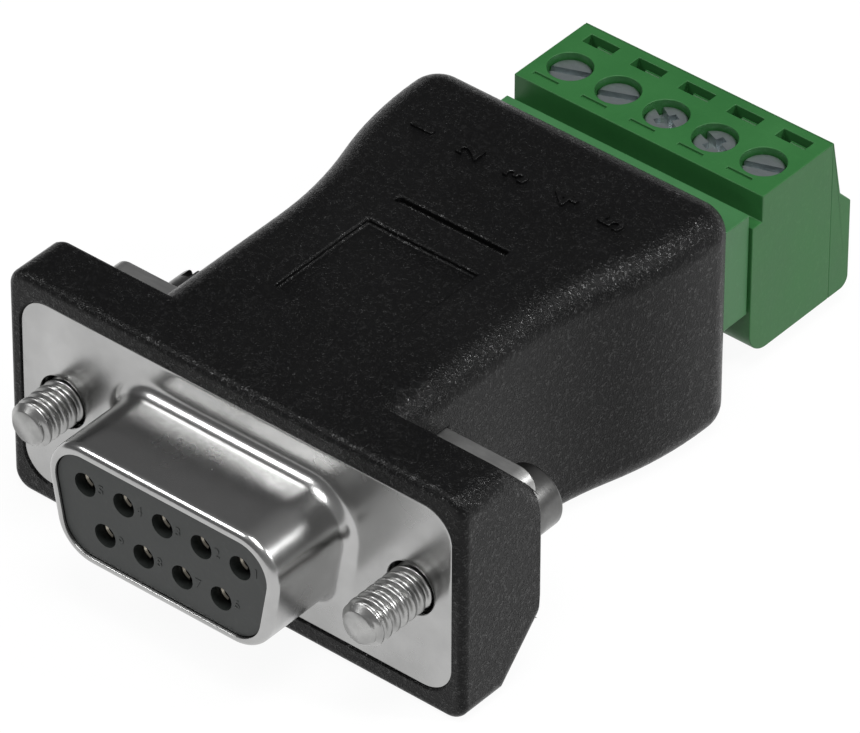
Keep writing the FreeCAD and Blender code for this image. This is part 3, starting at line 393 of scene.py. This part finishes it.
# depths in m, scales in waves per m
finishes = {
    "black_moulding": moulded("blackMoulding", {
        "dark": (0.0023, 0.0023, 0.0024), "light": (0.0046, 0.0046, 0.0047), "specular": 0.12,
        "grainScale": 9400.0, "grainDepth": 0.00008, "topsShare": 0.5, "topsGloss": -0.14,
        "topsShine": 0.85, "sideTops": 0.3,
        "driftScale": 120.0, "waveDepth": 0.00002, "roughLow": 0.26, "roughHigh": 0.32}),
    "green_plastic": moulded("greenPlastic", {
        "dark": (0.019, 0.097, 0.025), "light": (0.027, 0.122, 0.033), "specular": 0.26,
        "grainScale": 4200.0, "grainDepth": 0.000009, "topsShare": 0.25, "topsGloss": -0.05,
        "driftScale": 260.0, "waveDepth": 0.00002, "roughLow": 0.38, "roughHigh": 0.48}),
    "light_green_plastic": moulded("lightGreenPlastic", {
        "dark": (0.033, 0.119, 0.042), "light": (0.043, 0.146, 0.054), "specular": 0.28,
        "grainScale": 4200.0, "grainDepth": 0.000009, "topsShare": 0.25, "topsGloss": -0.05,
        "driftScale": 260.0, "waveDepth": 0.00002, "roughLow": 0.36, "roughHigh": 0.46}),
    "grey_insulator": moulded("greyInsulator", {
        "dark": (0.015, 0.0175, 0.0165), "light": (0.022, 0.0255, 0.024), "specular": 0.45,
        "grainScale": 5000.0, "grainDepth": 0.00001, "topsShare": 0.3, "topsGloss": -0.05,
        "driftScale": 300.0, "waveDepth": 0.00001, "roughLow": 0.40, "roughHigh": 0.50}),
    "board_laminate": laminate("boardLaminate", {
        "dark": (0.012, 0.07, 0.025), "light": (0.03, 0.13, 0.05), "coat": 0.4, "along": 1400.0,
        "across": 8400.0, "driftScale": 200.0, "depth": 0.00001, "roughLow": 0.3, "roughHigh": 0.45}),
    "nickel_plated_steel": plated("nickelPlatedSteel", {
        "dark": (0.37, 0.37, 0.366), "light": (0.47, 0.47, 0.466), "hazeScale": 210.0,
        "along": 900.0, "across": 900.0, "grainScale": 5200.0, "waveDepth": 0.000035, "lineDepth": 0.000001,
        "grainDepth": 0.0000012, "roughLow": 0.17, "roughHigh": 0.27, "lineDull": 0.06}),
    "zinc_plated_steel": plated("zincPlatedSteel", {
        "dark": (0.36, 0.36, 0.355), "light": (0.50, 0.50, 0.495), "hazeScale": 420.0,
        "along": 700.0, "across": 5200.0, "grainScale": 4300.0, "waveDepth": 0.00002, "lineDepth": 0.000005,
        "grainDepth": 0.000006, "roughLow": 0.28, "roughHigh": 0.42, "lineDull": 0.1}),
    "screw_nickel": plated("screwNickel", {
        "dark": (0.27, 0.27, 0.266), "light": (0.45, 0.45, 0.443), "hazeScale": 600.0,
        "along": 2500.0, "across": 5200.0, "grainScale": 5200.0, "waveDepth": 0.00001, "lineDepth": 0.000004,
        "grainDepth": 0.000004, "roughLow": 0.20, "roughHigh": 0.34, "lineDull": 0.1,
        # the heads' darkening is painted shade on the screws' heads
        "paintedHeadShade": 0.42, "threadEnd": 6.0, "headStart": 7.0}),  # mm along y
    "screw_zinc": plated("screwZinc", {
        "dark": (0.28, 0.32, 0.33), "light": (0.50, 0.55, 0.56), "hazeScale": 700.0,
        "along": 1500.0, "across": 5200.0, "grainScale": 5000.0, "waveDepth": 0.00001, "lineDepth": 0.000005,
        "grainDepth": 0.000006, "roughLow": 0.30, "roughHigh": 0.45, "lineDull": 0.1}),
    "gold_plated_brass": plated("goldPlatedBrass", {
        "dark": (0.26, 0.24, 0.20), "light": (0.40, 0.37, 0.31), "hazeScale": 800.0,
        "along": 1500.0, "across": 6000.0, "grainScale": 6000.0, "waveDepth": 0.00001, "lineDepth": 0.000002,
        "grainDepth": 0.000002, "roughLow": 0.18, "roughHigh": 0.30, "lineDull": 0.08}),
    "tinned_bronze": plated("tinnedBronze", {
        "dark": (0.50, 0.49, 0.46), "light": (0.66, 0.65, 0.62), "hazeScale": 800.0,
        "along": 1200.0, "across": 5200.0, "grainScale": 5200.0, "waveDepth": 0.00001, "lineDepth": 0.000003,
        "grainDepth": 0.000004, "roughLow": 0.28, "roughHigh": 0.42, "lineDull": 0.1}),
}

for node in nodes.values():
    for holder in node.material_slots:
        holder.material = finishes[holder.material.name]
print("finishes made:", len(finishes))


# ---- surfaces

weld = 1e-7  # m, points nearer than this are one


def ringAround(corners, radius, steps=14):
    # a polygon, anticlockwise in x and z, with its corners rounded: points, and the way outwards at each
    corners = np.asarray(corners, float)
    before, after = np.roll(corners, 1, 0) - corners, np.roll(corners, -1, 0) - corners
    before /= np.linalg.norm(before, axis=1)[:, None]
    after /= np.linalg.norm(after, axis=1)[:, None]
    half = np.arccos((before * after).sum(1)) / 2
    middle = (before + after) / np.linalg.norm(before + after, axis=1)[:, None]
    centre = corners + middle * (radius / np.sin(half))[:, None]
    first = np.arctan2(before[:, 0], -before[:, 1])
    turn = (np.arctan2(-after[:, 0], after[:, 1]) - first) % (2 * np.pi)
    angle = first[:, None] + turn[:, None] * np.linspace(0, 1, steps + 1)
    outward = np.stack([np.cos(angle), np.sin(angle)], -1)
    return (centre[:, None] + radius * outward).reshape(-1, 2), outward.reshape(-1, 2)


def circleAround(x, z, radius, steps):
    angle = np.arange(steps) * 2 * np.pi / steps
    outward = np.stack([np.cos(angle), np.sin(angle)], -1)
    return outward * radius + (x, z), outward


def arcOf(centreOut, centreDepth, radius, first, last, steps):
    # a profile's arc, in degrees from its outward way: how far out, and how deep
    angle = np.radians(np.linspace(first, last, steps + 1))
    return np.stack([centreOut + radius * np.cos(angle), centreDepth + radius * np.sin(angle)], -1)


def carried(ring, profile):
    # each point of the ring moved outwards by the profile's first number, at the depth y of its second
    points, outward = ring
    out, depth = np.asarray(profile, float).T
    flat = points[None] + out[:, None, None] * outward[None]
    return np.stack([flat[..., 0], np.broadcast_to(depth[:, None], flat.shape[:2]), flat[..., 1]], -1)


def gridFaces(rows, columns, start):
    row, column = np.meshgrid(np.arange(rows - 1), np.arange(columns), indexing="ij")
    here = start + row * columns + column
    beside = start + row * columns + (column + 1) % columns
    return np.stack([here, beside, beside + columns, here + columns], -1).reshape(-1, 4)


def solidFrom(name, grids, flats, axis=1):
    # closed rings of points joined into one skin; the open rims on each flat plane are filled
    points = np.concatenate([grid.reshape(-1, 3) for grid in grids]) * mm
    starts = np.cumsum([0] + [grid.shape[0] * grid.shape[1] for grid in grids])
    faces = np.concatenate([gridFaces(*grid.shape[:2], start) for grid, start in zip(grids, starts)])
    mesh = bpy.data.meshes.new(name)
    mesh.from_pydata(points.tolist(), [], faces.tolist())
    skin = bmesh.new()
    skin.from_mesh(mesh)
    bmesh.ops.remove_doubles(skin, verts=skin.verts, dist=weld)
    for level in flats:
        rim = [edge for edge in skin.edges if edge.is_boundary
               and all(abs(corner.co[axis] - level * mm) < weld for corner in edge.verts)]
        bmesh.ops.triangle_fill(skin, use_beauty=True, edges=rim)
    bmesh.ops.recalc_face_normals(skin, faces=skin.faces)
    skin.to_mesh(mesh)
    skin.free()
    return addObject(name, mesh)


def smooth(mesh, angle):
    mesh.polygons.foreach_set("use_smooth", np.ones(len(mesh.polygons), bool))
    mesh.set_sharp_from_angle(angle=math.radians(angle))


def dress(piece, slot, body, *stoodFor):
    piece.data.materials.clear()
    piece.data.materials.append(finishes[slot])
    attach(piece, body)
    if stoodFor:
        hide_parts(*stoodFor)


def chooseEdges(mesh, spared):
    # every sharp edge is rounded, but not where its middle lies in the spared box or its mirror images
    points, ends = np.empty(len(mesh.vertices) * 3), np.empty(len(mesh.edges) * 2, np.int32)
    mesh.vertices.foreach_get("co", points)
    mesh.edges.foreach_get("vertices", ends)
    middle = np.abs(points.reshape(-1, 3)[ends.reshape(-1, 2)].mean(1)) / mm
    inside = ((middle > spared[0]) & (middle < spared[1])).all(1)
    sharp = np.zeros(len(mesh.edges), bool)
    mesh.attributes["sharp_edge"].data.foreach_get("value", sharp)
    weight = mesh.attributes.new("bevel_weight_edge", "FLOAT", "EDGE")
    weight.data.foreach_set("value", (sharp & ~inside).astype(np.float32))


edgeSet = {"angle": 40, "segments": 2, "flat": 0.4, "tiny": 1e-8}  # degrees, and m for the last


def softenEdges(piece, width):
    bevel = piece.modifiers.new("softEdges", "BEVEL")
    bevel.width = width * mm
    bevel.segments = edgeSet["segments"]
    chosen = "bevel_weight_edge" in piece.data.attributes
    bevel.limit_method = "WEIGHT" if chosen else "ANGLE"
    bevel.angle_limit = math.radians(edgeSet["angle"])
    bevel.use_clamp_overlap = False
    bevel.harden_normals = not chosen
    if chosen:
        even = piece.modifiers.new("evenNormals", "WEIGHTED_NORMAL")
        even.mode, even.weight, even.keep_sharp = "FACE_AREA", 100, True


# ---- drawn socket shell

shellSet = {
    "plateWidth": 30.81, "plateHeight": 12.55, "plateCorner": 2.0, "plateThick": 0.5, "plateEdge": 0.1,
    "width": 16.33, "height": 7.9, "length": 6.1, "corner": 2.6, "lean": 10.0,
    "root": 0.9, "lip": 0.5, "wall": 0.6, "innerLip": 0.05, "holeRadius": 1.65, "holeSpacing": 24.99,
    "rootFlat": 0.2, "plateFlat": 0.15, "nearBend": 0.1, "nearLip": 0.2, "holeSteps": 72, "smooth": 38,
}


def dCorners(width, height, corner, lean):
    # wide on top, sides leaning in, so that the rounded outline is as wide as asked
    slope, slant = math.tan(math.radians(lean)), math.cos(math.radians(lean))
    upper = width / 2 + corner * slope + corner / slant - corner
    lower = upper - slope * height
    return [(-lower, -height / 2), (lower, -height / 2), (upper, height / 2), (-upper, height / 2)]


def makeFrontShell(look):
    skirt = ringAround(dCorners(look["width"], look["height"], look["corner"], look["lean"]), look["corner"], 18)
    root, lip, wall, length, thick = (look[part] for part in ("root", "lip", "wall", "length", "plateThick"))
    edge, inner, near, flat = (look[part] for part in ("plateEdge", "innerLip", "nearBend", "plateFlat"))
    skirtProfile = np.concatenate([
        [(root + look["rootFlat"], 0)], arcOf(root, -root, root, 90, 180, 12),
        [(0, -root - near), (0, lip + near - length)], arcOf(-lip, lip - length, lip, 0, -90, 12),
        [(inner - wall, -length)], arcOf(inner - wall, inner - length, inner, -90, -180, 3),
        [(-wall, look["nearLip"] - length), (-wall, thick - near), (-wall, thick)]])
    rimProfile = np.concatenate([
        [(-edge - flat, 0)], arcOf(-edge, edge, edge, -90, 0, 4), arcOf(-edge, thick - edge, edge, 0, 90, 4),
        [(-edge - flat, thick)]])
    boreProfile = np.concatenate([
        [(edge + flat, 0)], arcOf(edge, edge, edge, 270, 180, 4), arcOf(edge, thick - edge, edge, 180, 90, 4),
        [(edge + flat, thick)]])
    half, tall = look["plateWidth"] / 2, look["plateHeight"] / 2
    plate = ringAround([(-half, -tall), (half, -tall), (half, tall), (-half, tall)], look["plateCorner"])
    grids = [carried(skirt, skirtProfile), carried(plate, rimProfile)]
    for side in (-1, 1):
        hole = circleAround(side * look["holeSpacing"] / 2, 0, look["holeRadius"], look["holeSteps"])
        grids.append(carried(hole, boreProfile))
    piece = solidFrom("front_shell_skin", grids, (0, thick))
    smooth(piece.data, look["smooth"])
    dress(piece, "nickel_plated_steel", "adapter", "front_shell")


makeFrontShell(shellSet)
print("socket shell made")


# ---- screws

poles, polePitch = 5, 3.5  # the terminals, and mm from one to the next


def poleAt(pole):
    # x in mm of a terminal, counted from 0 at the left
    return (pole - (poles - 1) / 2) * polePitch


def screwSkin(name, rows, steps, centre, start, axis):
    # rows of (along, radius), where a radius may change with the turn; the axis is 1 for y and 2 for z
    turn = np.arange(steps) * 2 * np.pi / steps
    along = np.array([row[0] for row in rows])
    radius = np.stack([np.broadcast_to(row[1], (steps,)) for row in rows])
    first, second = radius * np.cos(turn), radius * np.sin(turn)
    depth = np.broadcast_to(start + along[:, None], radius.shape)
    if axis == 1:
        grid = np.stack([centre[0] + second, depth, centre[1] + first], -1)
    else:
        grid = np.stack([centre[0] + first, centre[1] + second, depth], -1)
    return solidFrom(name, [grid], (start + along[0], start + along[-1]), axis)


def threadRows(look, length, steps):
    # a right-hand helix: the phase is turns along less turns round, the wedge 0 on the crest and 1 in the root
    turn = np.arange(steps) * 2 * np.pi / steps
    along = np.arange(0, length, look["pitch"] / look["rowsPerTurn"])
    phase = (along[:, None] / look["pitch"] - turn / (2 * np.pi)) % 1
    wedge = np.abs(phase - 0.5) * 2
    rise = np.clip((1 - look["rootShare"] - wedge) / (1 - look["rootShare"] - look["crestShare"]), 0, 1)
    rise = rise * rise * (3 - 2 * rise)
    radius = look["minor"] + (look["major"] - look["minor"]) * rise
    lead = look["tipFlat"] + along[:, None] * look["tipSlope"]
    tail = look["neck"] + (length - along[:, None]) * look["tailSlope"]
    return list(zip(along, np.minimum(np.minimum(radius, lead), tail)))


def boxCutter(name, low, high, turned, about, axis):
    # a plain block for cutting a slot, turned about the screw's own line
    across = np.array(np.meshgrid([0, 1], [0, 1], [0, 1], indexing="ij")).reshape(3, -1).T
    points = np.asarray(low) + across * (np.asarray(high) - np.asarray(low))
    block = bmesh.new()
    corners = [block.verts.new(point * mm) for point in points]
    bmesh.ops.convex_hull(block, input=corners)
    spin = Matrix.Rotation(math.radians(turned), 4, "Y" if axis == 1 else "Z")
    place = Matrix.Translation(Vector(about) * mm)
    bmesh.ops.transform(block, matrix=place @ spin, verts=block.verts)
    mesh = bpy.data.meshes.new(name)
    block.to_mesh(mesh)
    block.free()
    return addObject(name, mesh)


def cutAway(piece, cutters):
    for cutter in cutters:
        cut = piece.modifiers.new("cut", "BOOLEAN")
        cut.operation, cut.solver, cut.object = "DIFFERENCE", "EXACT", cutter
    left = bakedMesh(piece)
    piece.modifiers.clear()
    piece.data = left
    for cutter in cutters:
        bpy.data.objects.remove(cutter)


def joinSkins(piece, other):
    skin = bmesh.new()
    for part in (piece, other):
        skin.from_mesh(part.data)
    mesh = bpy.data.meshes.new(piece.name)
    skin.to_mesh(mesh)
    skin.free()
    piece.data = mesh
    bpy.data.objects.remove(other)


jackSet = {
    "thread": {"pitch": 0.68, "major": 1.42, "minor": 1.14, "crestShare": 0.22, "rootShare": 0.22,
               "rowsPerTurn": 16, "tipFlat": 1.0, "tipSlope": 1.0, "tailSlope": 1.5, "neck": 1.1},
    "reach": 4.4, "neckLength": 2.6, "neckStep": 0.1, "intoHead": 0.2,
    "head": 2.0, "headLength": 3.15, "headEdge": 0.22, "headFlat": 0.2,
    "slot": 0.7, "slotDepth": 0.9, "slotReach": 1.5, "slotPast": 1.0, "plateBack": 7.5,
    "steps": 72, "headSteps": 64, "shankSmooth": 60, "headSmooth": 30,
    "left": {"sign": -1, "back": 1.4, "turned": 68}, "right": {"sign": 1, "back": 0.0, "turned": 44},
}


def makeJackscrew(side, look):
    which = look[side]
    x, seat = which["sign"] * shellSet["holeSpacing"] / 2, look["plateBack"] + which["back"]
    tip = which["back"] - look["reach"]
    threadEnd = seat - look["neckLength"] - tip
    rows = threadRows(look["thread"], threadEnd, look["steps"])
    neckStops = (threadEnd, threadEnd + look["neckStep"], seat - tip + look["intoHead"])
    rows += [(along, look["thread"]["neck"]) for along in neckStops]
    shank = screwSkin(f"jack_shank_{side}", rows, look["steps"], (x, 0), tip, 1)
    smooth(shank.data, look["shankSmooth"])
    head, edge, long, flat = (look[part] for part in ("head", "headEdge", "headLength", "headFlat"))
    profile = np.concatenate([[(0, head - edge - flat)], arcOf(edge, head - edge, edge, 180, 90, 4),
                              arcOf(long - edge, head - edge, edge, 90, 0, 5), [(long, head - edge - flat)]])
    headPiece = screwSkin(f"jack_head_{side}", profile, look["headSteps"], (x, 0), seat, 1)
    half, reach = look["slot"] / 2, head * look["slotReach"]
    cutter = boxCutter("slot", (-reach, long - look["slotDepth"], -half), (reach, long + look["slotPast"], half),
                       which["turned"], (x, seat, 0), 1)
    cutAway(headPiece, [cutter])
    smooth(headPiece.data, look["headSmooth"])
    joinSkins(shank, headPiece)
    shank.name = f"jackscrew_{side}_turned"
    dress(shank, "screw_nickel", f"jack_{side}", f"jackscrew_{side}")


for side in ("left", "right"):
    makeJackscrew(side, jackSet)

clampSet = {
    "thread": {"pitch": 0.4, "major": 1.0, "minor": 0.8, "crestShare": 0.15, "rootShare": 0.2,
               "rowsPerTurn": 8, "tipFlat": 0.8, "tipSlope": 1.0, "tailSlope": 1.5, "neck": 0.8},
    "head": 1.25, "headEdge": 0.13, "headFlat": 0.15, "under": 0.05, "underFlat": 0.3, "intoHead": 0.1,
    "bottom": 2.8, "top": 4.1, "tip": -1.15, "line": 37.45,
    "slot": 0.5, "slotDepth": 0.6, "slotReach": 2, "slotPast": 2, "crossed": (2, 3), "crossReach": 0.69,
    "turned": (22, 23, -31, -20, 20), "steps": 40, "headSteps": 56, "shankSmooth": 60, "headSmooth": 30,
}


def makeClampScrew(pole, look):
    centre = (poleAt(pole), look["line"])
    length = look["bottom"] - look["tip"] + look["intoHead"]
    rows = threadRows(look["thread"], length, look["steps"]) + [(length, look["thread"]["neck"])]
    shank = screwSkin(f"clamp_shank_{pole + 1}", rows, look["steps"], centre, look["tip"], 2)
    head, edge, under, high = look["head"], look["headEdge"], look["under"], look["top"] - look["bottom"]
    profile = np.concatenate([
        [(0, head - look["underFlat"])], arcOf(under, head - under, under, 180, 90, 2),
        arcOf(high - edge, head - edge, edge, 90, 0, 5), [(high, head - edge - look["headFlat"])]])
    headPiece = screwSkin(f"clamp_head_{pole + 1}", profile, look["headSteps"], centre, look["bottom"], 2)
    half, low = look["slot"] / 2, look["top"] - look["slotDepth"]
    above, reach = low + look["slotPast"], head * look["slotReach"]
    about, turned = (*centre, 0), look["turned"][pole]
    cutters = [boxCutter("slot", (-reach, -half, low), (reach, half, above), turned, about, 2)]
    if pole in look["crossed"]:
        reach = look["crossReach"]
        cutters.append(boxCutter("cross", (-half, -reach, low), (half, reach, above), turned, about, 2))
    cutAway(headPiece, cutters)
    smooth(headPiece.data, look["headSmooth"])
    smooth(shank.data, look["shankSmooth"])
    joinSkins(shank, headPiece)
    shank.name = f"clamp_screw_{pole + 1}_turned"
    dress(shank, "screw_zinc", f"screw_{pole + 1}", f"clamp_screw_{pole + 1}")


for pole in range(poles):
    makeClampScrew(pole, clampSet)
print("jackscrews and clamp screws made")


# ---- mouldings and stampings with their small edge radii

def softCopy(node, look, cutters):
    # the frame's own shape with its loose triangles merged, so that its edges can be rounded
    source = nodes[node].data
    points = np.empty(len(source.vertices) * 3, np.float32)
    source.vertices.foreach_get("co", points)
    corners = np.empty(len(source.loops), np.int32)
    source.loops.foreach_get("vertex_index", corners)
    places = np.round(points.reshape(-1, 3).astype(float) / weld)
    merged, index = np.unique(places, axis=0, return_inverse=True)
    mesh = bpy.data.meshes.new(f"{node}_soft")
    mesh.from_pydata((merged * weld).tolist(), [], index.reshape(-1)[corners].reshape(-1, 3).tolist())
    skin = bmesh.new()
    skin.from_mesh(mesh)
    bmesh.ops.dissolve_degenerate(skin, dist=edgeSet["tiny"], edges=skin.edges)
    if look["flatten"]:
        bmesh.ops.dissolve_limit(skin, angle_limit=math.radians(edgeSet["flat"]), verts=skin.verts,
                                 edges=skin.edges)
    skin.to_mesh(mesh)
    skin.free()
    smooth(mesh, edgeSet["angle"])
    piece = addObject(f"{node}_soft", mesh)
    if cutters:
        cutAway(piece, cutters)
        smooth(piece.data, edgeSet["angle"])
    if "spared" in look:
        chooseEdges(piece.data, look["spared"])
    softenEdges(piece, look["width"])
    dress(piece, look["slot"], look["body"], node)


# widths in mm; the spared box is where the hood's rounded waist runs into its wings, x, y and z in mm
softSet = {
    "hood": {"slot": "black_moulding", "body": "adapter", "width": 0.13, "flatten": False,
             "spared": ((6.9, 3.4, 4.4), (9.0, 6.7, 7.8))},
    "terminal_plug": {"slot": "green_plastic", "body": "plug", "width": 0.07, "flatten": True},
    "terminal_cover": {"slot": "green_plastic", "body": "plug", "width": 0.07, "flatten": True},
    "terminal_header": {"slot": "light_green_plastic", "body": "adapter", "width": 0.08, "flatten": True},
    "retainer_left": {"slot": "zinc_plated_steel", "body": "adapter", "width": 0.07, "flatten": True},
    "retainer_right": {"slot": "zinc_plated_steel", "body": "adapter", "width": 0.07, "flatten": True},
}
markSet = {"left": -1.25, "right": 0.5, "front": 35.58, "back": 35.82, "top": 4.5, "depth": 0.17, "past": 1}


def markCutters(look):
    # one short moulded line in front of each screw well
    low, high = look["top"] - look["depth"], look["top"] + look["past"]
    return [boxCutter("mark", (poleAt(pole) + look["left"], look["front"], low),
                      (poleAt(pole) + look["right"], look["back"], high), 0, (0, 0, 0), 2)
            for pole in range(poles)]


for node, look in softSet.items():
    softCopy(node, look, markCutters(markSet) if node == "terminal_plug" else ())
print("soft edges made")


# ---- plain numbers

numberSet = {
    "roof": {"size": 2.1, "proud": 0.12, "edge": 0.06, "row": 24.2, "top": 7.65, "closer": 0.97},
    "face": {"size": 0.85, "proud": 0.02, "edge": 0.011, "face": -5.9, "aside": 1.12, "rise": 0.15,
             "contacts": 9, "upperRow": 5, "starts": (5.54, 4.155), "pitch": 2.77, "heights": (1.42, -1.42)},
    "edgeSteps": 3, "curveSteps": 4, "smooth": 50,
}


def raisedNumber(name, figure, look, right, up, where):
    # a figure standing on a face: its line runs along right, its height along up
    words = bpy.data.curves.new(name, "FONT")
    words.body = str(figure)
    words.size = look["size"] * mm
    words.extrude = look["proud"] * mm
    words.bevel_depth = look["edge"] * mm
    words.bevel_resolution = numberSet["edgeSteps"]
    words.align_x, words.align_y = "CENTER", "CENTER"
    words.resolution_u = numberSet["curveSteps"]
    letter = addObject(name, words)
    mesh = bakedMesh(letter)
    bpy.data.objects.remove(letter)
    right, up = Vector(right), Vector(up)
    place = Matrix((right, up, right.cross(up))).transposed().to_4x4()
    mesh.transform(Matrix.Translation(Vector(where) * mm) @ place)
    smooth(mesh, numberSet["smooth"])
    return addObject(name, mesh)


roof, face = numberSet["roof"], numberSet["face"]
for pole in range(poles):
    piece = raisedNumber(f"roof_number_{pole + 1}", pole + 1, roof, (0, 1, 0), (-1, 0, 0),
                         (poleAt(pole) * roof["closer"], roof["row"], roof["top"]))
    dress(piece, "black_moulding", "adapter")
for contact in range(face["contacts"]):
    row, place = divmod(contact, face["upperRow"])
    x, z = face["starts"][row] - face["pitch"] * place, face["heights"][row]
    piece = raisedNumber(f"face_number_{contact + 1}", contact + 1, face, (1, 0, 0), (0, 0, 1),
                         (x + face["aside"], face["face"], z + face["rise"]))
    dress(piece, "grey_insulator", "adapter")
print("numbers made")


print("pieces ready")
